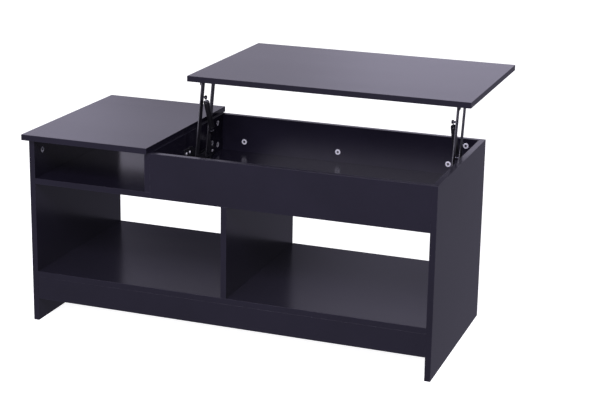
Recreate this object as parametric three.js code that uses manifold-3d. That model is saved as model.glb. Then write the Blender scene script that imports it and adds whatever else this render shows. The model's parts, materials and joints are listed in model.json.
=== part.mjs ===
// Lift top coffee table: a board cabinet with an open cubby, a storage compartment under a
// lifting top, and two open bays below. Millimetres, +Z up, seen from the front along +Y.
// The origin is on the floor, in the middle of the table's footprint with the top raised.
import * as THREE from "three";
import { mergeVertices } from "three/addons/utils/BufferGeometryUtils.js";
import Module from "manifold-3d";

const wasm = await Module();
wasm.setup();

// Cabinet
const tableWidth = 1100;
const tableDepth = 500;
const tableHeight = 500;
const board = 15;
const fixedTopWidth = 350;
const topGap = 2; // between the fixed top and the lift top
const endOverhang = 15; // of the tops past the side panels
const edgeOverhang = 12; // of the tops past the cabinet's front and back
const plinthHeight = 60;
const plinthClearance = 60; // from the floor to the plinth's lower edge
const plinthSetback = 0.4;
const middleShelfTop = 385;
const upperDividerX = -204.5;
const centreDividerX = 0;
const centreDividerSetback = 0.4;

// Lift: the top moves back and up on equal parallel arms
const liftBack = 240;
const liftUp = 136;
const armLength = 208; // between pivots
const armSpacing = 70; // front arm to rear arm
const armWidth = 20;
const sheet = 2.5; // steel thickness of arms and brackets
const pivotAboveFloor = 19.4; // arm pivots above the middle shelf
const frontPivotY = 9; // from the cabinet's middle
const upperPinAt = 170; // along the front arm
const lowerPinAt = 65; // along the rear arm
const clearance = 0.3;

// Distances from the board beside each lift, towards the compartment's middle
const flangeOut = 12;
const armOut = 15;
const strutOut = 26;
const topFlangeReach = 42;

const rivetRadius = 3;
const rivetHeadRadius = 5.2;
const rivetHeadHeight = 2;
const strutStart = 13; // the tube's upper end, below its pin
const strutEnd = 99;
const strutRadius = 7.5;
const strutBore = 5.4;
const rodRadius = 2.3;
const rodReach = 84;
const eyeRadius = 5.5;
const eyeThick = 4;

const screwHeadRadius = 3.6;
const screwHeadHeight = 2.2;
const screwShankRadius = 1.7;
const screwDepth = 11;
const topScrewOut = 33;

const camRadius = 7.5;
const camDepth = 12;
const camFromEdge = 34; // cam centre from the joint that it pulls up
const highCamDrop = 19; // from the fixed top's underside
const dividerCamPitch = 60;
const backCamX = [-133, 137, 441];
const backCamRise = 27; // above the middle shelf
const shelfCamY = 150;
const leftCamY = -196;

// Values that follow from the driving dimensions
const underTop = tableHeight - board;
const sideX = tableWidth / 2 - endOverhang;
const innerX = sideX - board;
const frontY = -(tableDepth / 2 - edgeOverhang);
const backY = -frontY;
const bottomShelfTop = plinthClearance + plinthHeight + board;
const storageLeft = upperDividerX + board / 2;
const cabinetY = -liftBack / 2;

// The arms swing from just past upright, with the top raised, forward until they nearly lie down.
const liftChord = Math.hypot(liftBack, liftUp);
const halfSwing = Math.asin(liftChord / 2 / armLength);
const raisedAngle = halfSwing - Math.atan2(liftUp, liftBack);
const pivotZ = middleShelfTop + pivotAboveFloor;
const pivotBelowTop = underTop + liftUp - pivotZ - armLength * Math.cos(raisedAngle);

const boardFinish = { color: 0x1f1c2a, roughness: 0.42, metalness: 0 };
const steelFinish = { color: 0x16161a, roughness: 0.4, metalness: 0.6 };
const zincFinish = { color: 0xc9c9cf, roughness: 0.3, metalness: 1 };

// Solids

function solidOf(geometry) {
  const bare = geometry.clone();
  bare.deleteAttribute("normal");
  bare.deleteAttribute("uv");
  const merged = mergeVertices(bare, 1e-4);
  return new wasm.Manifold(
    new wasm.Mesh({
      numProp: 3,
      vertProperties: merged.attributes.position.array,
      triVerts: new Uint32Array(merged.index.array),
    }),
  );
}

function geometryOf(solid) {
  const mesh = solid.getMesh();
  const geometry = new THREE.BufferGeometry();
  geometry.setAttribute("position", new THREE.BufferAttribute(mesh.vertProperties, 3));
  geometry.setIndex(new THREE.BufferAttribute(mesh.triVerts, 1));
  return geometry;
}

function join(solids) {
  return solids.reduce((whole, next) => whole.add(next));
}

function cut(solid, tools) {
  return tools.reduce((left, tool) => left.subtract(tool), solid);
}

// A block between two opposite corners.
function block(low, high) {
  const size = high.map((value, i) => value - low[i]);
  const geometry = new THREE.BoxGeometry(...size);
  geometry.translate(...low.map((value, i) => value + size[i] / 2));
  return solidOf(geometry);
}

// A plate lying in the Y-Z plane between two X values, from its outline.
function plate(outline, xA, xB) {
  const geometry = new THREE.ExtrudeGeometry(outline, {
    depth: Math.abs(xB - xA),
    bevelEnabled: false,
    curveSegments: 12,
  });
  const turn = new THREE.Matrix4().makeBasis(
    new THREE.Vector3(0, 1, 0),
    new THREE.Vector3(0, 0, 1),
    new THREE.Vector3(1, 0, 0),
  );
  geometry.applyMatrix4(turn);
  geometry.translate(Math.min(xA, xB), 0, 0);
  return solidOf(geometry);
}

function outlineOf(points) {
  return new THREE.Shape(points.map(([y, z]) => new THREE.Vector2(y, z)));
}

// A turned piece: profile points are [radius, distance along the axis] from place.
function turned(profile, place, axis, segments) {
  const points = profile.map(([radius, along]) => new THREE.Vector2(radius, along));
  const geometry = new THREE.LatheGeometry(points, segments);
  const up = new THREE.Vector3(0, 1, 0);
  const turn = new THREE.Quaternion().setFromUnitVectors(up, new THREE.Vector3(...axis));
  geometry.applyQuaternion(turn);
  geometry.translate(...place);
  return solidOf(geometry);
}

function rod(radius, from, axis, length, segments = 12) {
  const profile = [[0, 0], [radius, 0], [radius, length], [0, length]];
  return turned(profile, from, axis, segments);
}

const table = new THREE.Group();
const cabinet = new THREE.Group();
cabinet.position.y = cabinetY;
table.add(cabinet);

// The raised top and what moves with it, shifted from where it lies closed.
const raised = new THREE.Group();
raised.position.set(0, liftBack, liftUp);
cabinet.add(raised);

function addPiece(group, name, solid, finish) {
  const mesh = new THREE.Mesh(geometryOf(solid), new THREE.MeshStandardMaterial(finish));
  mesh.name = name;
  group.add(mesh);
}

// Cam locks and their bores

// A cam lock sits in a blind bore; face is where its middle meets the board's surface.
function camLock(face, axis) {
  const inward = axis.map((value) => -value);
  const start = face.map((value, i) => value + inward[i] * clearance);
  const disc = rod(camRadius, start, inward, camDepth - 2 * clearance, 20);
  const slotLength = 7;
  const slotWidth = 1.8;
  const slotDepth = 2.5;
  const along = [0, 1, 2].filter((i) => axis[i] === 0);
  const slots = along.map((long) => {
    const half = [0, 1, 2].map((i) => (i === long ? slotLength / 2 : slotWidth / 2));
    const sunk = [0, 1, 2].map((i) => (axis[i] === 0 ? half[i] : slotDepth));
    return block(
      start.map((value, i) => value - sunk[i]),
      start.map((value, i) => value + sunk[i]),
    );
  });
  return cut(disc, slots);
}

function camBore(face, axis) {
  const inward = axis.map((value) => -value);
  const start = face.map((value, i) => value - inward[i]);
  return rod(camRadius + clearance, start, inward, camDepth + 1, 20);
}

const backWallY = backY - board;
const lowCamZ = middleShelfTop + camFromEdge;
const highCamZ = underTop - highCamDrop;
const backCamSpots = backCamX.map((x) => [x, middleShelfTop + backCamRise]);
backCamSpots.push([innerX - camFromEdge, highCamZ]);
const cams = [
  ...backCamSpots.map(([x, z], i) => ({
    name: `cam_lock_back_${i + 1}`,
    board: "back",
    face: [x, backWallY, z],
    axis: [0, -1, 0],
  })),
  {
    name: "cam_lock_divider_upper",
    board: "divider",
    face: [storageLeft, backWallY - camFromEdge, highCamZ],
    axis: [1, 0, 0],
  },
  {
    name: "cam_lock_divider_lower",
    board: "divider",
    face: [storageLeft, backWallY - camFromEdge, highCamZ - dividerCamPitch],
    axis: [1, 0, 0],
  },
  {
    name: "cam_lock_divider_shelf",
    board: "divider",
    face: [storageLeft, shelfCamY, lowCamZ],
    axis: [1, 0, 0],
  },
  {
    name: "cam_lock_left_side",
    board: "left",
    face: [-innerX, leftCamY, underTop - camFromEdge],
    axis: [1, 0, 0],
  },
];

function boresIn(boardName) {
  return cams
    .filter((cam) => cam.board === boardName)
    .map((cam) => camBore(cam.face, cam.axis));
}

// Lift hardware

// side is 1 where the lift stands right of its board and -1 where it stands left of it.
const lifts = [
  { name: "left", wall: storageLeft, side: 1 },
  { name: "right", wall: innerX, side: -1 },
];

const rearPivotY = frontPivotY + armSpacing;

// A point at a distance along a raised arm, and to the rear of its middle line.
function onArm(pivotY, along, rearward = 0) {
  const sine = Math.sin(raisedAngle);
  const cosine = Math.cos(raisedAngle);
  return [
    pivotY + along * sine + rearward * cosine,
    pivotZ + along * cosine - rearward * sine,
  ];
}

// Base bracket screws, two ahead of the arms and two behind them.
const baseScrewSpots = [[-24, 432], [-3, 432], [122, 400], [145, 400]];
const topScrewSpots = [-188, -153, -118];

function at(lift, out) {
  return lift.wall + lift.side * out;
}

function crossRod(lift, spot, radius, fromOut, toOut, segments) {
  const start = [at(lift, fromOut), ...spot];
  return rod(radius, start, [lift.side, 0, 0], toOut - fromOut, segments);
}

function baseBracket(lift) {
  const webZ = middleShelfTop + 3;
  const rearEnd = 158;
  const wallPlate = plate(
    outlineOf([
      [-10, webZ], [rearEnd, webZ], [rearEnd, 412], [48, 418], [14, 444], [-36, 444], [-36, 422],
    ]),
    at(lift, 0),
    at(lift, sheet),
  );
  const web = plate(
    outlineOf([[-8, webZ], [112, webZ], [112, webZ + sheet], [-8, webZ + sheet]]),
    at(lift, 0),
    at(lift, flangeOut + sheet),
  );
  const flange = plate(
    outlineOf([
      [-8, webZ], [112, webZ], [112, 436], [98, 436], [90, 416], [-8, 416],
    ]),
    at(lift, flangeOut),
    at(lift, flangeOut + sheet),
  );
  const gap = armWidth / 2 + clearance;
  const stop = plate(
    outlineOf([
      onArm(rearPivotY, 16, gap), onArm(rearPivotY, 16, gap + sheet),
      onArm(rearPivotY, 28, gap + sheet), onArm(rearPivotY, 28, gap),
    ]),
    at(lift, flangeOut),
    at(lift, armOut + sheet),
  );
  const holes = [frontPivotY, rearPivotY].map((y) =>
    crossRod(lift, [y, pivotZ], rivetRadius + clearance, flangeOut - 1, armOut),
  );
  const screwHoles = baseScrewSpots.map((spot) =>
    crossRod(lift, spot, screwShankRadius + clearance, -1, sheet + 1, 8),
  );
  return cut(join([wallPlate, web, flange, stop]), [...holes, ...screwHoles]);
}

function armOutline(pivotY) {
  const half = armWidth / 2;
  const [topY, topZ] = onArm(pivotY, armLength);
  const outline = new THREE.Shape();
  outline.absarc(pivotY, pivotZ, half, -raisedAngle, Math.PI - raisedAngle, true);
  outline.absarc(topY, topZ, half, Math.PI - raisedAngle, -raisedAngle, true);
  return outline;
}

function arm(lift, pivotY, pinAt) {
  const bar = plate(armOutline(pivotY), at(lift, armOut), at(lift, armOut + sheet));
  const holes = [0, pinAt, armLength].map((along) =>
    crossRod(lift, onArm(pivotY, along), rivetRadius + clearance, armOut - 1, armOut + sheet + 1),
  );
  return cut(bar, holes);
}

// Drawn where it lies with the top closed, like the board that carries it. Its flange is arched
// between the pivots, where the strut's pin comes up.
function topBracket(lift) {
  const [frontTop, rearTop] = topPivots();
  const front = frontTop - 12;
  const rear = rearTop + 12;
  const level = underTop - pivotBelowTop;
  const low = level - 8;
  const arch = level + 3;
  const foot = plate(
    outlineOf([[front, underTop - sheet], [rear, underTop - sheet], [rear, underTop], [front, underTop]]),
    at(lift, flangeOut),
    at(lift, topFlangeReach),
  );
  const flange = plate(
    outlineOf([
      [front, underTop], [front, level - 3], [front + 6, low], [frontTop + 6, low],
      [frontTop + 15, arch], [rearTop - 15, arch], [rearTop - 6, low], [rear - 6, low],
      [rear, level - 3], [rear, underTop],
    ]),
    at(lift, flangeOut),
    at(lift, flangeOut + sheet),
  );
  const holes = [frontTop, rearTop].map((y) =>
    crossRod(lift, [y, level], rivetRadius + clearance, flangeOut - 1, armOut),
  );
  const screwHoles = topScrewSpots.map((y) =>
    rod(screwShankRadius + clearance, [at(lift, topScrewOut), y, underTop - 4], [0, 0, 1], 6, 8),
  );
  return cut(join([foot, flange]), [...holes, ...screwHoles]);
}

// Where the arms' upper pivots lie with the top closed.
function topPivots() {
  return [frontPivotY, rearPivotY].map((y) => onArm(y, armLength)[0] - liftBack);
}

// A rivet along X from the flange's outer side to the arm's inner side, with a domed head.
function rivet(lift, y, z, fromOut, toOut) {
  const tail = rivetHeadHeight * 0.7;
  const length = toOut - fromOut;
  const profile = [
    [0, -tail],
    [rivetHeadRadius * 0.8, -tail],
    [rivetHeadRadius * 0.9, 0],
    [rivetRadius, 0],
    [rivetRadius, length],
    [rivetHeadRadius, length],
    [rivetHeadRadius * 0.82, length + rivetHeadHeight * 0.75],
    [rivetHeadRadius * 0.45, length + rivetHeadHeight],
    [0, length + rivetHeadHeight],
  ];
  return turned(profile, [at(lift, fromOut), y, z], [lift.side, 0, 0], 12);
}

const upperPin = onArm(frontPivotY, upperPinAt);
const lowerPin = onArm(rearPivotY, lowerPinAt);
const strutSpan = Math.hypot(lowerPin[0] - upperPin[0], lowerPin[1] - upperPin[1]);
const strutAxis = [
  0,
  (lowerPin[0] - upperPin[0]) / strutSpan,
  (lowerPin[1] - upperPin[1]) / strutSpan,
];

// A flat eye around a strut pin, in line with the strut.
function eye(lift, pin) {
  const outline = new THREE.Shape();
  outline.absarc(...pin, eyeRadius, 0, Math.PI * 2, false);
  return plate(outline, at(lift, strutOut - eyeThick / 2), at(lift, strutOut + eyeThick / 2));
}

function eyeHole(lift, pin) {
  return crossRod(lift, pin, rivetRadius + clearance, armOut, 2 * strutOut - armOut);
}

// The strut's tube hangs from its eye and is open at the bottom for the rod.
function strutTube(lift) {
  const neckRadius = 2;
  const capThick = 10;
  const profile = [
    [0, eyeRadius - 1],
    [neckRadius, eyeRadius - 1],
    [neckRadius, strutStart],
    [strutRadius - 0.6, strutStart],
    [strutRadius, strutStart + 0.6],
    [strutRadius, strutEnd],
    [strutBore, strutEnd],
    [strutBore, strutStart + capThick],
    [0, strutStart + capThick],
  ];
  const tube = turned(profile, [at(lift, strutOut), ...upperPin], strutAxis, 16);
  return cut(join([eye(lift, upperPin), tube]), [eyeHole(lift, upperPin)]);
}

function strutRod(lift) {
  const upward = strutAxis.map((value) => -value);
  const stem = rod(rodRadius, [at(lift, strutOut), ...lowerPin], upward, rodReach);
  return cut(join([eye(lift, lowerPin), stem]), [eyeHole(lift, lowerPin)]);
}

// Pan-head screw with a cross recess; face is where the head meets the bracket.
function screw(face, axis) {
  const profile = [
    [0, -screwDepth],
    [screwShankRadius, -screwDepth + 2],
    [screwShankRadius, clearance / 3],
    [screwHeadRadius, clearance / 3],
    [screwHeadRadius * 0.9, screwHeadHeight * 0.7],
    [screwHeadRadius * 0.5, screwHeadHeight],
    [0, screwHeadHeight],
  ];
  return turned(profile, face, axis, 10);
}

function screwPilot(face, axis) {
  const inward = axis.map((value) => -value);
  const start = face.map((value, i) => value + axis[i] * 3);
  return rod(screwShankRadius + clearance, start, inward, screwDepth + 4, 8);
}

function baseScrewFace(lift, spot) {
  return [at(lift, sheet), ...spot];
}

function topScrewFace(lift, y) {
  return [at(lift, topScrewOut), y, underTop - sheet];
}

function basePilots(lift) {
  return baseScrewSpots.map((spot) => screwPilot(baseScrewFace(lift, spot), [lift.side, 0, 0]));
}

function topPilots() {
  return lifts.flatMap((lift) =>
    topScrewSpots.map((y) => screwPilot(topScrewFace(lift, y), [0, 0, -1])),
  );
}

// Boards

function sidePanel(side) {
  const xA = side < 0 ? -sideX : innerX;
  const panel = block([xA, frontY, 0], [xA + board, backY, underTop]);
  return side < 0 ? cut(panel, boresIn("left")) : cut(panel, basePilots(lifts[1]));
}

function addBoards() {
  const half = board / 2;
  const split = -tableWidth / 2 + fixedTopWidth;
  const depth = tableDepth / 2;
  const shelfUnder = middleShelfTop - board;
  const add = (name, solid) => addPiece(cabinet, name, solid, boardFinish);
  add("left_side_panel", sidePanel(-1));
  add("right_side_panel", sidePanel(1));
  add("fixed_top", block([-tableWidth / 2, -depth, underTop], [split - topGap / 2, depth, tableHeight]));
  const dividerLeft = upperDividerX - half;
  add("front_apron", block([storageLeft, frontY, shelfUnder], [innerX, frontY + board, underTop]));
  const back = block([dividerLeft, backWallY, shelfUnder], [innerX, backY, underTop]);
  add("back_panel", cut(back, boresIn("back")));
  // The shelf takes the cubby's whole depth, runs on under the divider, and fills the space
  // between the apron and the back panel. The cubby is open at the front and the back.
  const shelf = join([
    block([-innerX, frontY, shelfUnder], [dividerLeft, backY, middleShelfTop]),
    block([-innerX, frontY, shelfUnder], [storageLeft, backWallY, middleShelfTop]),
    block([dividerLeft, frontY + board, shelfUnder], [innerX, backWallY, middleShelfTop]),
  ]);
  add("middle_shelf", shelf);
  const divider = block([dividerLeft, frontY, middleShelfTop], [storageLeft, backWallY, underTop]);
  add("upper_divider", cut(divider, [...boresIn("divider"), ...basePilots(lifts[0])]));
  add(
    "centre_divider",
    block(
      [centreDividerX - half, frontY + centreDividerSetback, bottomShelfTop],
      [centreDividerX + half, backY - centreDividerSetback, shelfUnder],
    ),
  );
  const shelfLow = bottomShelfTop - board;
  add("bottom_shelf", block([-innerX, frontY, shelfLow], [innerX, backY, bottomShelfTop]));
  const plinthFront = frontY + plinthSetback;
  const plinthBack = backY - plinthSetback;
  add(
    "front_plinth",
    block([-innerX, plinthFront, plinthClearance], [innerX, plinthFront + board, shelfLow]),
  );
  add(
    "rear_plinth",
    block([-innerX, plinthBack - board, plinthClearance], [innerX, plinthBack, shelfLow]),
  );
  const top = block([split + topGap / 2, -depth, underTop], [tableWidth / 2, depth, tableHeight]);
  addPiece(raised, "lift_top", cut(top, topPilots()), boardFinish);
}

function addCams() {
  for (const cam of cams) addPiece(cabinet, cam.name, camLock(cam.face, cam.axis), zincFinish);
}

function addLift(lift) {
  const add = (name, solid) => addPiece(cabinet, `${lift.name}_${name}`, solid, steelFinish);
  const addRaised = (name, solid) => addPiece(raised, `${lift.name}_${name}`, solid, steelFinish);
  const armInner = armOut + sheet + clearance;
  add("base_bracket", baseBracket(lift));
  add("front_arm", arm(lift, frontPivotY, upperPinAt));
  add("rear_arm", arm(lift, rearPivotY, lowerPinAt));
  add("front_base_rivet", rivet(lift, frontPivotY, pivotZ, flangeOut - clearance, armInner));
  add("rear_base_rivet", rivet(lift, rearPivotY, pivotZ, flangeOut - clearance, armInner));
  const pinEnd = strutOut + eyeThick / 2 + clearance;
  add("strut_upper_pin", rivet(lift, ...upperPin, armOut - clearance, pinEnd));
  add("strut_lower_pin", rivet(lift, ...lowerPin, armOut - clearance, pinEnd));
  add("strut_tube", strutTube(lift));
  add("strut_rod", strutRod(lift));
  addRaised("top_bracket", topBracket(lift));
  const level = underTop - pivotBelowTop;
  const [frontTop, rearTop] = topPivots();
  addRaised("front_top_rivet", rivet(lift, frontTop, level, flangeOut - clearance, armInner));
  addRaised("rear_top_rivet", rivet(lift, rearTop, level, flangeOut - clearance, armInner));
  baseScrewSpots.forEach((spot, i) => {
    const solid = screw(baseScrewFace(lift, spot), [lift.side, 0, 0]);
    addPiece(cabinet, `${lift.name}_base_screw_${i + 1}`, solid, zincFinish);
  });
  topScrewSpots.forEach((y, i) => {
    const solid = screw(topScrewFace(lift, y), [0, 0, -1]);
    addPiece(raised, `${lift.name}_top_screw_${i + 1}`, solid, zincFinish);
  });
}

addBoards();
addCams();
lifts.forEach(addLift);

export default table;
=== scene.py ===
import json
import math

import bpy
from mathutils import Matrix, Quaternion, Vector

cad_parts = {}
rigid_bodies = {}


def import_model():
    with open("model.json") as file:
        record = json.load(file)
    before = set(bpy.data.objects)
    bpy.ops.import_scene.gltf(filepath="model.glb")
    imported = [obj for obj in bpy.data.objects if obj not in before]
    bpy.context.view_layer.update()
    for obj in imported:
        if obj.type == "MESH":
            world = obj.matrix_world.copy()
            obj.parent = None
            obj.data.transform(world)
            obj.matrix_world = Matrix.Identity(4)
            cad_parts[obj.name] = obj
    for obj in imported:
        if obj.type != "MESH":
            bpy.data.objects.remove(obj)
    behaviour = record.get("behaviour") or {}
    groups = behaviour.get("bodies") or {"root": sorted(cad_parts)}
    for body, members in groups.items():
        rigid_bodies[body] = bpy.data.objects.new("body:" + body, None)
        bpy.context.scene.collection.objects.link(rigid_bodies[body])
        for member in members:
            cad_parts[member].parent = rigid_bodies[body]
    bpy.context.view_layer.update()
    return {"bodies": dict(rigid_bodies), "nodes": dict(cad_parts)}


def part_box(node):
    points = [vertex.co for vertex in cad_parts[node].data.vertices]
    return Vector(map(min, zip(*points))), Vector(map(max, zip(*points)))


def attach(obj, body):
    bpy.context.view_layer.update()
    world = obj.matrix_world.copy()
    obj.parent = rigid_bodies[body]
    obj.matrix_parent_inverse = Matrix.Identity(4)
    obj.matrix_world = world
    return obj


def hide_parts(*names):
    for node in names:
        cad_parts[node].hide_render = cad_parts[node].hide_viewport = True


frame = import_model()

# Lift top coffee table in black melamine board, with its top raised on two steel lifts.
# Metres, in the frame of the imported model: +X to the right, +Y to the back, +Z up.

mm = 0.001
nodes = frame["nodes"]
bodyNames = {empty: name for name, empty in frame["bodies"].items()}
print("frame loaded,", len(nodes), "nodes")


# the camera stands to the front right and looks down a little
cameraSetup = {
    "place": (1.353, -3.569, 1.438),
    "lookAt": (0.110, -0.120, 0.469),
    "rollDegrees": 1.0,
    "lens": 89.6,
    "shiftUp": -0.0875,
}


def makeCamera(setup):
    data = bpy.data.cameras.new("tableCamera")
    data.lens = setup["lens"]
    data.shift_y = setup["shiftUp"]
    camera = bpy.data.objects.new("tableCamera", data)
    bpy.context.scene.collection.objects.link(camera)
    place = Vector(setup["place"])
    look = (Vector(setup["lookAt"]) - place).to_track_quat("-Z", "Y")
    roll = Quaternion((0, 0, 1), math.radians(setup["rollDegrees"]))
    camera.location = place
    camera.rotation_mode = "QUATERNION"
    camera.rotation_quaternion = look @ roll
    bpy.context.scene.camera = camera


makeCamera(cameraSetup)
print("camera set")


# small helpers for node materials

def newFinish(name):
    finish = bpy.data.materials.new(name)
    finish.use_nodes = True
    return finish, finish.node_tree, finish.node_tree.nodes["Principled BSDF"]


def noiseOf(tree, spot, size, detail=3.0, stretch=None):
    # size is the width of one blotch, stretch thins it along an axis
    if stretch:
        scaled = tree.nodes.new("ShaderNodeMapping")
        scaled.inputs["Scale"].default_value = stretch
        tree.links.new(spot, scaled.inputs["Vector"])
        spot = scaled.outputs["Vector"]
    noise = tree.nodes.new("ShaderNodeTexNoise")
    noise.inputs["Scale"].default_value = 1 / size
    noise.inputs["Detail"].default_value = detail
    tree.links.new(spot, noise.inputs["Vector"])
    return noise.outputs["Fac"]


def rangeOf(tree, value, fromLow, fromHigh, toLow, toHigh):
    remap = tree.nodes.new("ShaderNodeMapRange")
    for socket, number in zip(("From Min", "From Max", "To Min", "To Max"),
                              (fromLow, fromHigh, toLow, toHigh)):
        remap.inputs[socket].default_value = number
    tree.links.new(value, remap.inputs["Value"])
    return remap.outputs["Result"]


def mathOf(tree, operation, first, second):
    node = tree.nodes.new("ShaderNodeMath")
    node.operation = operation
    for socket, value in zip(node.inputs, (first, second)):
        if isinstance(value, (int, float)):
            socket.default_value = value
        else:
            tree.links.new(value, socket)
    return node.outputs["Value"]


def blendOf(tree, factor, first, second):
    mix = tree.nodes.new("ShaderNodeMix")
    mix.data_type = "RGBA"
    tree.links.new(factor, mix.inputs["Factor"])
    colourIn = [socket for socket in mix.inputs if socket.type == "RGBA"]
    for socket, value in zip(colourIn, (first, second)):
        if isinstance(value, tuple):
            socket.default_value = (*value, 1)
        else:
            tree.links.new(value, socket)
    return [socket for socket in mix.outputs if socket.type == "RGBA"][0]


def bumpOf(tree, height, depth, under=None):
    bump = tree.nodes.new("ShaderNodeBump")
    bump.inputs["Distance"].default_value = depth
    tree.links.new(height, bump.inputs["Height"])
    if under:
        tree.links.new(under, bump.inputs["Normal"])
    return bump.outputs["Normal"]


def cornersOf(tree, width, broken):
    # 1 on sharp corners, 0 on flat faces, broken up by a noise
    rounded = tree.nodes.new("ShaderNodeBevel")
    rounded.samples = 6
    rounded.inputs["Radius"].default_value = width
    surface = tree.nodes.new("ShaderNodeNewGeometry")
    dot = tree.nodes.new("ShaderNodeVectorMath")
    dot.operation = "DOT_PRODUCT"
    tree.links.new(rounded.outputs["Normal"], dot.inputs[0])
    tree.links.new(surface.outputs["Normal"], dot.inputs[1])
    turned = rangeOf(tree, dot.outputs["Value"], 0.998, 0.93, 0, 1)
    return mathOf(tree, "MULTIPLY", turned, rangeOf(tree, broken, 0.42, 0.62, 0.15, 1))


# finishes: black melamine, coated steel, plated metal and the struts' sleeves
melamine = {
    "shade": (0.0104, 0.0092, 0.0170),
    "paleShade": (0.0132, 0.0117, 0.0215),
    "rubbedCorner": (0.050, 0.046, 0.066),
    "cloudSize": 0.16,
    "poreSize": 0.75 * mm,
    "poreDepth": 0.006 * mm,
    "rippleSize": 6 * mm,
    "rippleDepth": 0.010 * mm,
    "smearSize": 0.11,
    "gloss": (0.190, 0.215),
    "poreGloss": 0.015,
    "sheen": 0.36,
    "cornerWidth": 1.2 * mm,
    "cornerNoise": 5 * mm,
    "cornerWear": 0.6,
    "cornerDull": 0.12,
}


def melamineFinish(name, look, smearAlong):
    finish, tree, shader = newFinish(name)
    spot = tree.nodes.new("ShaderNodeTexCoord").outputs["Object"]
    clouds = noiseOf(tree, spot, look["cloudSize"], 4)
    pores = noiseOf(tree, spot, look["poreSize"], 2)
    ripple = noiseOf(tree, spot, look["rippleSize"], 2)
    smears = noiseOf(tree, spot, look["smearSize"], 5, smearAlong)
    corners = cornersOf(tree, look["cornerWidth"], noiseOf(tree, spot, look["cornerNoise"], 3))
    cloudy = blendOf(tree, rangeOf(tree, clouds, 0.3, 0.7, 0, 1), look["shade"], look["paleShade"])
    grainy = blendOf(tree, rangeOf(tree, pores, 0.58, 0.78, 0, 0.22), cloudy, look["rubbedCorner"])
    rubbed = mathOf(tree, "MULTIPLY", corners, look["cornerWear"])
    worn = blendOf(tree, rubbed, grainy, look["rubbedCorner"])
    tree.links.new(worn, shader.inputs["Base Color"])
    gloss = rangeOf(tree, smears, 0.3, 0.7, *look["gloss"])
    poreGloss = look["poreGloss"]
    gloss = mathOf(tree, "ADD", gloss, rangeOf(tree, pores, 0.3, 0.7, -poreGloss, poreGloss))
    gloss = mathOf(tree, "ADD", gloss, mathOf(tree, "MULTIPLY", corners, look["cornerDull"]))
    tree.links.new(gloss, shader.inputs["Roughness"])
    shader.inputs["Specular IOR Level"].default_value = look["sheen"]
    rippled = bumpOf(tree, ripple, look["rippleDepth"])
    tree.links.new(bumpOf(tree, pores, look["poreDepth"], rippled), shader.inputs["Normal"])
    return finish


coating = {
    "shade": (0.011, 0.011, 0.014),
    "paleShade": (0.022, 0.022, 0.026),
    "bareSteel": (0.30, 0.30, 0.32),
    "patchSize": 18 * mm,
    "peelSize": 1.1 * mm,
    "peelDepth": 0.02 * mm,
    "scratchSize": 2.2 * mm,
    "gloss": (0.26, 0.42),
    "cornerWidth": 0.5 * mm,
    "cornerNoise": 2.5 * mm,
    "cornerWear": 0.55,
}


def coatedSteelFinish(name, look):
    finish, tree, shader = newFinish(name)
    spot = tree.nodes.new("ShaderNodeTexCoord").outputs["Object"]
    patches = noiseOf(tree, spot, look["patchSize"], 4)
    peel = noiseOf(tree, spot, look["peelSize"], 3)
    scratches = noiseOf(tree, spot, look["scratchSize"], 4, (1, 1, 0.06))
    corners = cornersOf(tree, look["cornerWidth"], noiseOf(tree, spot, look["cornerNoise"], 3))
    bare = mathOf(tree, "MULTIPLY", corners, look["cornerWear"])
    bare = mathOf(tree, "MAXIMUM", bare, rangeOf(tree, scratches, 0.72, 0.80, 0, 0.5))
    shade = blendOf(tree, rangeOf(tree, patches, 0.3, 0.7, 0, 1), look["shade"], look["paleShade"])
    tree.links.new(blendOf(tree, bare, shade, look["bareSteel"]), shader.inputs["Base Color"])
    tree.links.new(bare, shader.inputs["Metallic"])
    gloss = rangeOf(tree, patches, 0.3, 0.7, *look["gloss"])
    tree.links.new(gloss, shader.inputs["Roughness"])
    tree.links.new(bumpOf(tree, peel, look["peelDepth"]), shader.inputs["Normal"])
    return finish


def platedFinish(name, look):
    # bright or dark plated metal, with grain left by the tool or the mould, and painted shade in its
    # recesses
    finish, tree, shader = newFinish(name)
    spot = tree.nodes.new("ShaderNodeTexCoord").outputs["Object"]
    tint = noiseOf(tree, spot, look["tintSize"], 3)
    grain = noiseOf(tree, spot, look["grainSize"], 4, look["grainAlong"])
    shade = blendOf(tree, rangeOf(tree, tint, 0.35, 0.65, 0, 1), look["shade"], look["otherShade"])
    corners = cornersOf(tree, look["cornerWidth"], grain)
    shade = blendOf(tree, mathOf(tree, "MULTIPLY", corners, 0.5), shade, look["polished"])
    hollow = tree.nodes.new("ShaderNodeAmbientOcclusion")  # painted shade: sockets and recesses darkened by ambient occlusion
    hollow.inputs["Distance"].default_value = look["recessShadeReach"]
    recessShading = rangeOf(tree, hollow.outputs["AO"], *look["recessShadeFrom"], 1, 0)
    shade = blendOf(tree, recessShading, shade, look["recessShade"])
    tree.links.new(shade, shader.inputs["Base Color"])
    shader.inputs["Metallic"].default_value = look["metal"]
    tree.links.new(rangeOf(tree, grain, 0.3, 0.7, *look["gloss"]), shader.inputs["Roughness"])
    tree.links.new(bumpOf(tree, grain, look["grainDepth"]), shader.inputs["Normal"])
    return finish


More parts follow.
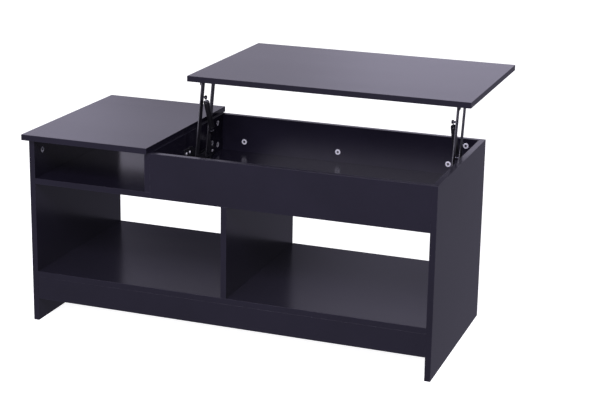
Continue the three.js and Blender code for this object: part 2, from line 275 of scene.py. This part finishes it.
zincPlate = {
    "shade": (0.95, 0.95, 0.97),
    "otherShade": (0.86, 0.86, 0.91),
    "polished": (0.98, 0.98, 0.98),
    "tintSize": 6 * mm,
    "grainSize": 0.5 * mm,
    "grainAlong": (1, 1, 1),
    "grainDepth": 0.02 * mm,
    "gloss": (0.48, 0.62),
    "cornerWidth": 0.4 * mm,
    "metal": 0.28,
    # the last three entries paint shade into sockets and recesses: its colour, its reach and its occlusion
    # range
    "recessShade": (0.008, 0.008, 0.009),
    "recessShadeReach": 12 * mm,
    "recessShadeFrom": (0.42, 0.72),
}
darkPlate = {
    "shade": (0.06, 0.06, 0.07),
    "otherShade": (0.10, 0.10, 0.115),
    "polished": (0.42, 0.42, 0.45),
    "tintSize": 4 * mm,
    "grainSize": 0.7 * mm,
    "grainAlong": (1, 1, 1),
    "grainDepth": 0.02 * mm,
    "gloss": (0.20, 0.34),
    "cornerWidth": 0.5 * mm,
    "metal": 1,
    # the last three entries paint shade into sockets and recesses: its colour, its reach and its occlusion
    # range
    "recessShade": (0.010, 0.010, 0.011),
    "recessShadeReach": 2.5 * mm,
    "recessShadeFrom": (0.42, 0.72),
}
groundRod = {
    "shade": (0.52, 0.52, 0.55),
    "otherShade": (0.60, 0.60, 0.63),
    "polished": (0.80, 0.80, 0.82),
    "tintSize": 12 * mm,
    "grainSize": 0.3 * mm,
    "grainAlong": (1, 1, 6),
    "grainDepth": 0.004 * mm,
    "gloss": (0.12, 0.22),
    "cornerWidth": 0.4 * mm,
    "metal": 1,
    # the last three entries paint shade into sockets and recesses: its colour, its reach and its occlusion
    # range
    "recessShade": (0.010, 0.010, 0.011),
    "recessShadeReach": 2.5 * mm,
    "recessShadeFrom": (0.42, 0.72),
}
sleevePlastic = {
    "shade": (0.010, 0.010, 0.012),
    "paleShade": (0.020, 0.020, 0.023),
    "scuffSize": 1.4 * mm,
    "ringSize": 0.9 * mm,
    "ringDepth": 0.015 * mm,
    "gloss": (0.30, 0.44),
}


def sleeveFinish(name, look):
    finish, tree, shader = newFinish(name)
    spot = tree.nodes.new("ShaderNodeTexCoord").outputs["Object"]
    scuffs = noiseOf(tree, spot, look["scuffSize"], 5, (1, 1, 0.2))
    rings = noiseOf(tree, spot, look["ringSize"], 1, (0.05, 0.05, 1))
    shade = blendOf(tree, rangeOf(tree, scuffs, 0.45, 0.75, 0, 1), look["shade"], look["paleShade"])
    tree.links.new(shade, shader.inputs["Base Color"])
    tree.links.new(rangeOf(tree, scuffs, 0.3, 0.7, *look["gloss"]), shader.inputs["Roughness"])
    tree.links.new(bumpOf(tree, rings, look["ringDepth"]), shader.inputs["Normal"])
    return finish


finishes = {
    "boardAlongX": melamineFinish("melamine_along_x", melamine, (0.25, 1, 1)),
    "boardAlongY": melamineFinish("melamine_along_y", melamine, (1, 0.25, 1)),
    "coatedSteel": coatedSteelFinish("coated_steel", coating),
    "zinc": platedFinish("zinc_plate", zincPlate),
    "darkPlate": platedFinish("dark_plate", darkPlate),
    "groundRod": platedFinish("ground_rod", groundRod),
    "sleeve": sleeveFinish("strut_sleeve", sleevePlastic),
}
print("finishes made")


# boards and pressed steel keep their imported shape, with softened edges
boardEdges = {"width": 0.55 * mm, "segments": 3}
steelEdges = {"width": 0.35 * mm, "segments": 2}
boards = {
    "boardAlongX": ("fixed_top", "lift_top", "front_apron", "back_panel", "middle_shelf",
                    "bottom_shelf", "front_plinth", "rear_plinth"),
    "boardAlongY": ("left_side_panel", "right_side_panel", "upper_divider", "centre_divider"),
}
pressings = ("base_bracket", "top_bracket", "front_arm", "rear_arm")
sides = {"left": 1, "right": -1}  # which way each lift stands off its board


def softenEdges(piece, edges):
    mesh = piece.data
    if "custom_normal" in mesh.attributes:
        mesh.attributes.remove(mesh.attributes["custom_normal"])
    mesh.shade_smooth()
    weld = piece.modifiers.new("weld", "WELD")
    weld.merge_threshold = 0.001 * mm
    flatten = piece.modifiers.new("flatten", "DECIMATE")
    flatten.decimate_type = "DISSOLVE"
    flatten.angle_limit = math.radians(0.5)
    soften = piece.modifiers.new("soften", "BEVEL")
    soften.width = edges["width"]
    soften.segments = edges["segments"]
    soften.limit_method = "ANGLE"
    soften.angle_limit = math.radians(35)
    even = piece.modifiers.new("even", "WEIGHTED_NORMAL")
    even.keep_sharp = False


def dress(piece, finish):
    for slot in piece.material_slots:
        slot.material = finish


for finishName, names in boards.items():
    for name in names:
        softenEdges(nodes[name], boardEdges)
        dress(nodes[name], finishes[finishName])
print("boards dressed")

for side in sides:
    for name in pressings:
        softenEdges(nodes[f"{side}_{name}"], steelEdges)
        dress(nodes[f"{side}_{name}"], finishes["coatedSteel"])
print("pressings dressed")


# helpers for small turned and cut parts

def spunMesh(name, profile, steps=40):
    # profile points are (radius, height) in millimetres, turned about +Z
    points, faces, rows = [], [], []
    for radius, height in profile:
        count = 1 if radius == 0 else steps
        rows.append([len(points) + i for i in range(count)])
        for i in range(count):
            angle = 2 * math.pi * i / steps
            points.append((radius * math.cos(angle) * mm, radius * math.sin(angle) * mm, height * mm))
    for low, high in zip(rows, rows[1:]):
        for i in range(steps):
            corners = [low[i % len(low)], low[(i + 1) % len(low)],
                       high[(i + 1) % len(high)], high[i % len(high)]]
            faces.append([c for k, c in enumerate(corners) if c not in corners[:k]])
    mesh = bpy.data.meshes.new(name)
    mesh.from_pydata(points, [], faces)
    mesh.validate()
    return mesh


def barMesh(name, length, width, low, high, turnDegrees=0):
    # a slim block that tapers downwards, for cutting a slot
    points = []
    for height, share in ((low, 0.7), (high, 1)):
        for x, y in ((-1, -1), (1, -1), (1, 1), (-1, 1)):
            spot = Vector((x * length / 2 * share, y * width / 2 * share, height)) * mm
            spot.rotate(Quaternion((0, 0, 1), math.radians(turnDegrees)))
            points.append(spot)
    faces = [(3, 2, 1, 0), (4, 5, 6, 7), (0, 1, 5, 4), (1, 2, 6, 5), (2, 3, 7, 6), (3, 0, 4, 7)]
    mesh = bpy.data.meshes.new(name)
    mesh.from_pydata(points, [], faces)
    return mesh


def placed(name, mesh):
    piece = bpy.data.objects.new(name, mesh)
    bpy.context.scene.collection.objects.link(piece)
    return piece


def carved(blankMesh, toolMeshes):
    # the blank less every tool, as one new mesh
    blank = placed("blank", blankMesh)
    tools = [placed("tool", mesh) for mesh in toolMeshes]
    for tool in tools:
        cut = blank.modifiers.new("cut", "BOOLEAN")
        cut.operation = "DIFFERENCE"
        cut.solver = "EXACT"
        cut.object = tool
    seen = blank.evaluated_get(bpy.context.evaluated_depsgraph_get())
    mesh = bpy.data.meshes.new_from_object(seen)
    for extra in (blank, *tools):
        bpy.data.objects.remove(extra)
    return mesh


creaseAngle = math.radians(32)  # edges sharper than this stay crisp


def finishMesh(mesh, finish):
    mesh.materials.clear()
    mesh.materials.append(finish)
    mesh.shade_smooth()
    mesh.set_sharp_from_angle(angle=creaseAngle)
    return mesh


def stand(name, mesh, spot, axis, standsFor, spin=0):
    # puts a small part with its +Z along axis, on the body of the node it stands for, or else the cabinet
    piece = placed(name, mesh)
    turn = Vector(axis).to_track_quat("Z", "Y")
    piece.rotation_mode = "QUATERNION"
    piece.rotation_quaternion = turn @ Quaternion((0, 0, 1), math.radians(spin))
    piece.location = spot
    if standsFor:
        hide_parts(standsFor)
        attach(piece, bodyNames[nodes[standsFor].parent])
    else:
        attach(piece, "cabinet")
    return piece


# rivets and strut pins
rivet = {"shank": 3.0, "head": 5.2, "headHeight": 2.0, "tail": 4.6, "tailHeight": 1.4, "dimple": 1.5}


def rivetMesh(name, length, size):
    top = length - size["headHeight"]
    profile = [
        (0, 0.45), (size["dimple"] * 0.6, 0.38), (size["dimple"], 0.08), (size["dimple"] + 0.3, 0),
        (size["tail"] - 1.0, 0), (size["tail"] - 0.35, 0.2), (size["tail"], 0.7),
        (size["tail"], size["tailHeight"] - 0.1), (size["tail"] - 0.1, size["tailHeight"]),
        (size["shank"], size["tailHeight"]), (size["shank"], top),
        (size["head"] - 0.15, top), (size["head"], top + 0.15), (size["head"], top + 0.45),
    ]
    for step in range(1, 8):
        angle = math.radians(90 * step / 8)
        rise = (size["headHeight"] - 0.45) * math.sin(angle)
        profile.append((size["head"] * math.cos(angle) ** 0.8, top + 0.45 + rise))
    profile.append((0, length))
    return spunMesh(name, profile, 36)


rivetNames = ("front_base_rivet", "rear_base_rivet", "front_top_rivet", "rear_top_rivet",
              "strut_upper_pin", "strut_lower_pin")
for side, away in sides.items():
    for name in rivetNames:
        node = f"{side}_{name}"
        low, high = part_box(node)
        length = (high.x - low.x) / mm
        mesh = finishMesh(rivetMesh(f"{node}_turned", length, rivet), finishes["darkPlate"])
        start = Vector((low.x if away > 0 else high.x, (low.y + high.y) / 2, (low.z + high.z) / 2))
        stand(f"{node}_turned", mesh, start, (away, 0, 0), node)
print("rivets made")


# pan-head screws in the brackets
screw = {"head": 3.6, "headHeight": 2.2, "shank": 1.7, "thread": 2.0, "pitch": 1.3,
         "recess": 3.9, "recessWidth": 0.85, "recessDepth": 1.5}


def screwMesh(name, length, size):
    # origin at the point, head at the top
    under = length - size["headHeight"]
    profile = [(0, 0), (0.5, 0.7)]
    height = 1.4
    while height + size["pitch"] < under - 0.8:
        grown = min(1, height / 3.5)
        profile.append((size["shank"] * 0.78 * grown, height))
        profile.append((size["thread"] * grown, height + size["pitch"] * 0.45))
        profile.append((size["thread"] * grown, height + size["pitch"] * 0.55))
        height += size["pitch"]
    profile += [(size["shank"] * 0.8, height), (size["shank"] * 0.8, under)]
    profile += [(size["head"] - 0.12, under), (size["head"], under + 0.12)]
    for step in range(1, 9):
        angle = math.radians(90 * step / 9)
        rise = (size["headHeight"] - 0.12) * math.sin(angle)
        profile.append((size["head"] * math.cos(angle) ** 0.55, under + 0.12 + rise))
    profile.append((0, length))
    blank = spunMesh("screwBlank", profile, 32)
    floor = length - size["recessDepth"]
    tools = [barMesh("recess", size["recess"], size["recessWidth"], floor, length + 1, turn)
             for turn in (0, 90)]
    mesh = carved(blank, tools)
    mesh.name = name
    return mesh


low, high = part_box("left_base_screw_1")
screwLength = (high.x - low.x) / mm
screwShape = finishMesh(screwMesh("screwShape", screwLength, screw), finishes["zinc"])
for side, away in sides.items():
    for number in range(1, 5):
        node = f"{side}_base_screw_{number}"
        low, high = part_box(node)
        start = Vector((low.x if away > 0 else high.x, (low.y + high.y) / 2, (low.z + high.z) / 2))
        stand(f"{node}_turned", screwShape, start, (away, 0, 0), node, 17 + 31 * number)
    for number in range(1, 4):
        node = f"{side}_top_screw_{number}"
        low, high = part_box(node)
        start = Vector(((low.x + high.x) / 2, (low.y + high.y) / 2, high.z))
        stand(f"{node}_turned", screwShape, start, (0, 0, -1), node, 8 + 47 * number)
print("screws made")


# cam locks let into the boards
cam = {"radius": 7.5, "depth": 11.4, "rim": 1.1, "dish": 0.35, "boss": 5.0, "well": 3.1, "wellDepth": 8,
       "slot": 8.0, "slotWidth": 1.2, "slotDepth": 3.4, "arrow": 1.3}


def camMesh(name, size):
    # face at the top, looking along +Z, origin at the middle of the face
    edge = size["radius"]
    profile = [
        (0, -size["depth"]), (edge - 0.4, -size["depth"]), (edge, -size["depth"] + 0.4),
        (edge, -0.35), (edge - 0.1, -0.12), (edge - 0.35, 0), (edge - size["rim"], 0),
        (edge - size["rim"] - 0.25, -size["dish"]), (size["boss"] + 0.25, -size["dish"]),
        (size["boss"], -0.1), (size["boss"] - 0.2, 0), (0, 0),
    ]
    blank = spunMesh("camBlank", profile, 48)
    tools = [barMesh("slot", size["slot"], size["slotWidth"], -size["slotDepth"], 1, turn)
             for turn in (0, 90)]
    well = size["well"]
    wellSide = [(0, -size["wellDepth"]), (well - 0.3, -size["wellDepth"]), (well, 1), (0, 1)]
    tools.append(spunMesh("well", wellSide, 28))
    arrow = barMesh("arrow", size["arrow"], size["arrow"], -size["dish"] - 0.5, 1, 45)
    arrow.transform(Matrix.Translation((0, (edge - size["rim"] - 1.0) * mm, 0)))
    tools.append(arrow)
    mesh = carved(blank, tools)
    mesh.name = name
    return mesh


camShape = finishMesh(camMesh("camShape", cam), finishes["zinc"])
camFaces = {
    "cam_lock_back_1": (0, -1, 0), "cam_lock_back_2": (0, -1, 0),
    "cam_lock_back_3": (0, -1, 0), "cam_lock_back_4": (0, -1, 0),
    "cam_lock_divider_upper": (1, 0, 0), "cam_lock_divider_lower": (1, 0, 0),
    "cam_lock_divider_shelf": (1, 0, 0), "cam_lock_left_side": (1, 0, 0),
}


def faceSpot(node, axis):
    low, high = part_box(node)
    middle = (low + high) / 2
    reach = (high - low) / 2
    return middle + Vector([a * r for a, r in zip(axis, reach)])


for number, (node, axis) in enumerate(camFaces.items()):
    stand(f"{node}_cast", camShape, faceSpot(node, axis), axis, node, 40 + 65 * number)

# the apron is held by cam locks too, opposite those in the back panel
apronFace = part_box("front_apron")[1].y
for number, node in enumerate(("cam_lock_back_2", "cam_lock_back_3", "cam_lock_back_4")):
    spot = faceSpot(node, camFaces[node])
    spot.y = apronFace + 0.2 * mm
    stand(f"cam_lock_apron_{number + 1}", camShape, spot, (0, 1, 0), None, 25 + 80 * number)
print("cam locks made")


# struts between the arms
strut = {
    "sleeveRadius": 7.5, "sleeveBore": 5.6, "sleeveFrom": 14.2, "sleeveTo": 99.0,
    "capRadius": 6.9, "capFrom": 12.8, "wire": 1.15, "loop": 4.35,
    "rodRadius": 2.3, "rodReach": 84.0, "eyeRadius": 5.5, "eyeHole": 3.25, "eyeThick": 4.0,
}


def middleOf(node):
    low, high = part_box(node)
    return (low + high) / 2


def pinSpot(side, name):
    # the pin's height and depth, in the strut's own plane
    pin = middleOf(f"{side}_{name}")
    return Vector((middleOf(f"{side}_strut_rod").x, pin.y, pin.z))


def joinMeshes(name, meshes):
    points, faces, finishNumbers, kinds = [], [], [], []
    for mesh in meshes:
        base = len(points)
        points += [v.co.copy() for v in mesh.vertices]
        kind = mesh.materials[0]
        if kind not in kinds:
            kinds.append(kind)
        for face in mesh.polygons:
            faces.append([base + v for v in face.vertices])
            finishNumbers.append(kinds.index(kind))
    whole = bpy.data.meshes.new(name)
    whole.from_pydata(points, [], faces)
    for kind in kinds:
        whole.materials.append(kind)
    whole.polygons.foreach_set("material_index", finishNumbers)
    whole.shade_smooth()
    whole.set_sharp_from_angle(angle=creaseAngle)
    return whole


def wireMesh(name, path, radius, around=12):
    # round wire along points in the strut's Y-Z plane, in millimetres, closed at both ends
    points, faces = [], []
    for i, spot in enumerate(path):
        before, after = path[max(i - 1, 0)], path[min(i + 1, len(path) - 1)]
        along = Vector((0, after[0] - before[0], after[1] - before[1])).normalized()
        out = along.cross(Vector((1, 0, 0)))
        for k in range(around):
            angle = 2 * math.pi * k / around
            ring = Vector((1, 0, 0)) * math.cos(angle) + out * math.sin(angle)
            points.append((Vector((0, *spot)) + ring * radius) * mm)
    for i in range(len(path) - 1):
        for k in range(around):
            n = (k + 1) % around
            faces.append([i * around + k, i * around + n, (i + 1) * around + n, (i + 1) * around + k])
    faces.append(list(range(around))[::-1])
    faces.append([(len(path) - 1) * around + k for k in range(around)])
    mesh = bpy.data.meshes.new(name)
    mesh.from_pydata(points, [], faces)
    return mesh


def hookPath(size):
    # up out of the cap, then once round the pin at the origin
    path = [(0, -size["capFrom"] - 1), (0, -size["capFrom"] + 2), (0, -size["loop"] - 2.2)]
    for step in range(0, 31):
        angle = math.radians(-90 + 330 * step / 30)
        path.append((size["loop"] * math.cos(angle), size["loop"] * math.sin(angle)))
    return path


def sleeveParts(size):
    outer, bore = size["sleeveRadius"], size["sleeveBore"]
    top, end = -size["sleeveFrom"], -size["sleeveTo"]
    sleeve = spunMesh("sleeve", [
        (bore, end + 0.1), (bore + 0.15, end), (outer - 0.25, end), (outer, end + 0.3),
        (outer, end + 4.0), (outer - 0.22, end + 4.5), (outer - 0.22, end + 5.3), (outer, end + 5.8),
        (outer, top - 1.2), (outer - 0.2, top - 0.5), (outer - 0.7, top),
        (1.2, top), (1.2, top - 1), (bore, top - 1), (bore, end + 0.1)], 40)
    cap = spunMesh("cap", [
        (0, top - 0.4), (size["capRadius"] - 0.6, top - 0.4), (size["capRadius"] - 0.1, top - 0.1),
        (size["capRadius"], top + 0.5), (size["capRadius"] - 0.3, -size["capFrom"]), (2.2, -size["capFrom"]),
        (1.6, -size["capFrom"] - 0.6), (0, -size["capFrom"] - 0.6)], 40)
    hook = wireMesh("hook", hookPath(size), size["wire"])
    return [finishMesh(sleeve, finishes["sleeve"]), finishMesh(cap, finishes["groundRod"]),
            finishMesh(hook, finishes["darkPlate"])]


def rodParts(size):
    reach, radius = size["rodReach"], size["rodRadius"]
    stem = spunMesh("stem", [
        (0, 3.4), (radius, 3.4), (radius, reach - 0.6), (radius - 0.6, reach), (0, reach)], 28)
    half, outer, hole = size["eyeThick"] / 2, size["eyeRadius"], size["eyeHole"]
    eye = spunMesh("eye", [
        (hole, -half + 0.3), (hole + 0.3, -half), (outer - 0.6, -half), (outer, -half + 0.6),
        (outer, half - 0.6), (outer - 0.6, half), (hole + 0.3, half), (hole, half - 0.3),
        (hole, -half + 0.3)], 36)
    eye.transform(Quaternion((0, 1, 0), math.radians(90)).to_matrix().to_4x4())
    return [finishMesh(stem, finishes["groundRod"]), finishMesh(eye, finishes["darkPlate"])]


for side in sides:
    upper = pinSpot(side, "strut_upper_pin")
    lower = pinSpot(side, "strut_lower_pin")
    axis = (upper - lower).normalized()
    lean = -math.atan2(axis.y, axis.z)
    for part, meshes, spot in (("strut_tube", sleeveParts(strut), upper),
                               ("strut_rod", rodParts(strut), lower)):
        node = f"{side}_{part}"
        piece = placed(f"{node}_made", joinMeshes(f"{node}_made", meshes))
        piece.location = spot
        piece.rotation_euler = (lean, 0, 0)
        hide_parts(node)
        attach(piece, bodyNames[nodes[node].parent])
print("struts made")


# studio: pale floor, soft sky, three soft panels and a broad light overhead
studio = {
    "floorShade": (0.86, 0.86, 0.84),
    "floorGlow": 0.93,
    "floorGloss": 0.7,
    "floorSize": 60,
    "mottleSize": 0.5,
    "mottleShade": 0.985,
    "backSky": ((-0.46, 0.30), (-0.42, 0.07), (-0.34, 0.06), (-0.28, 0.29), (0.05, 0.29), (0.12, 0.19)),
    "skyTint": (1.0, 0.95, 1.27),
    "frontSky": (0.34, 0.33, 0.39),
    "highSky": (0.05, 0.05, 0.06),
    "skyTurnsAt": (0.30, 0.85),
    "overhead": 0.55,
    "overheadSpread": 70,
    "wall": {"place": (-0.4, 0.95, 1.86), "aim": (-0.4, 0, 1.86), "size": (5.0, 2.4),
             "glow": 0.57, "tint": (0.97, 0.92, 1.13)},
    "key": {"place": (0.75, -2.4, 2.3), "aim": (0.1, 0, 0.45), "size": (1.0, 1.0),
            "glow": 17, "tint": (1.0, 0.95, 1.10)},
    "low": {"place": (-0.8, -3.1, 1.36), "aim": (0.1, 0.1, 0.4), "size": (1.8, 1.1),
            "glow": 6.0, "tint": (1.0, 0.95, 1.16)},
}


def makeFloor(look):
    size = look["floorSize"] / 2
    mesh = bpy.data.meshes.new("floor")
    mesh.from_pydata([(-size, -size, 0), (size, -size, 0), (size, size, 0), (-size, size, 0)],
                     [], [(0, 1, 2, 3)])
    finish, tree, shader = newFinish("studio_floor")
    spot = tree.nodes.new("ShaderNodeTexCoord").outputs["Object"]
    mottle = noiseOf(tree, spot, look["mottleSize"], 3)
    dimmer = tuple(look["mottleShade"] * value for value in look["floorShade"])
    shade = blendOf(tree, rangeOf(tree, mottle, 0.3, 0.7, 0, 1), look["floorShade"], dimmer)
    tree.links.new(shade, shader.inputs["Base Color"])
    shader.inputs["Roughness"].default_value = look["floorGloss"]
    shader.inputs["Emission Color"].default_value = (1, 1, 1, 1)  # a floor lit from below
    shader.inputs["Emission Strength"].default_value = look["floorGlow"]
    mesh.materials.append(finish)
    floor = placed("floor", mesh)
    floor.visible_glossy = False
    floor.visible_diffuse = False


def makeSky(look):
    # dim behind and uneven from left to right, brighter low in front, and darkest overhead
    world = bpy.data.worlds.new("studio_sky")
    world.use_nodes = True
    tree = world.node_tree
    way = tree.nodes.new("ShaderNodeTexCoord").outputs["Generated"]
    parts = tree.nodes.new("ShaderNodeSeparateXYZ")
    tree.links.new(way, parts.inputs["Vector"])
    ramp = tree.nodes.new("ShaderNodeValToRGB")
    stops = look["backSky"]
    for number, (across, level) in enumerate(stops):
        spots = ramp.color_ramp.elements
        stop = spots[number] if number < 2 else spots.new(1)
        stop.position = (across + 1) / 2
        stop.color = (*(level * tint for tint in look["skyTint"]), 1)
    tree.links.new(rangeOf(tree, parts.outputs["X"], -1, 1, 0, 1), ramp.inputs["Fac"])
    ahead = rangeOf(tree, parts.outputs["Y"], 0.1, -0.5, 0, 1)
    below = rangeOf(tree, parts.outputs["Z"], 0.05, -0.12, 0, 1)
    lowFront = mathOf(tree, "MULTIPLY", ahead, below)
    shade = blendOf(tree, lowFront, ramp.outputs["Color"], look["frontSky"])
    height = rangeOf(tree, parts.outputs["Z"], *look["skyTurnsAt"], 0, 1)
    shade = blendOf(tree, height, shade, look["highSky"])
    tree.links.new(shade, tree.nodes["Background"].inputs["Color"])
    bpy.context.scene.world = world


def makePanel(name, look):
    panel = bpy.data.lights.new(name, "AREA")
    panel.shape = "RECTANGLE"
    panel.size, panel.size_y = look["size"]
    panel.energy = look["glow"] * math.pi * panel.size * panel.size_y
    panel.color = look["tint"]
    piece = placed(name, panel)
    piece.location = look["place"]
    aim = Vector(look["aim"]) - Vector(look["place"])
    piece.rotation_euler = aim.to_track_quat("-Z", "Y").to_euler()
    piece.visible_camera = False


def makeLights(look):
    sun = bpy.data.lights.new("overhead", "SUN")
    sun.energy = look["overhead"]
    sun.angle = math.radians(look["overheadSpread"])
    placed("overhead", sun)
    for name in ("wall", "key", "low"):
        makePanel(name, look[name])


makeFloor(studio)
makeSky(studio)
makeLights(studio)
bpy.context.scene.view_settings.view_transform = "Standard"
print("studio lit")
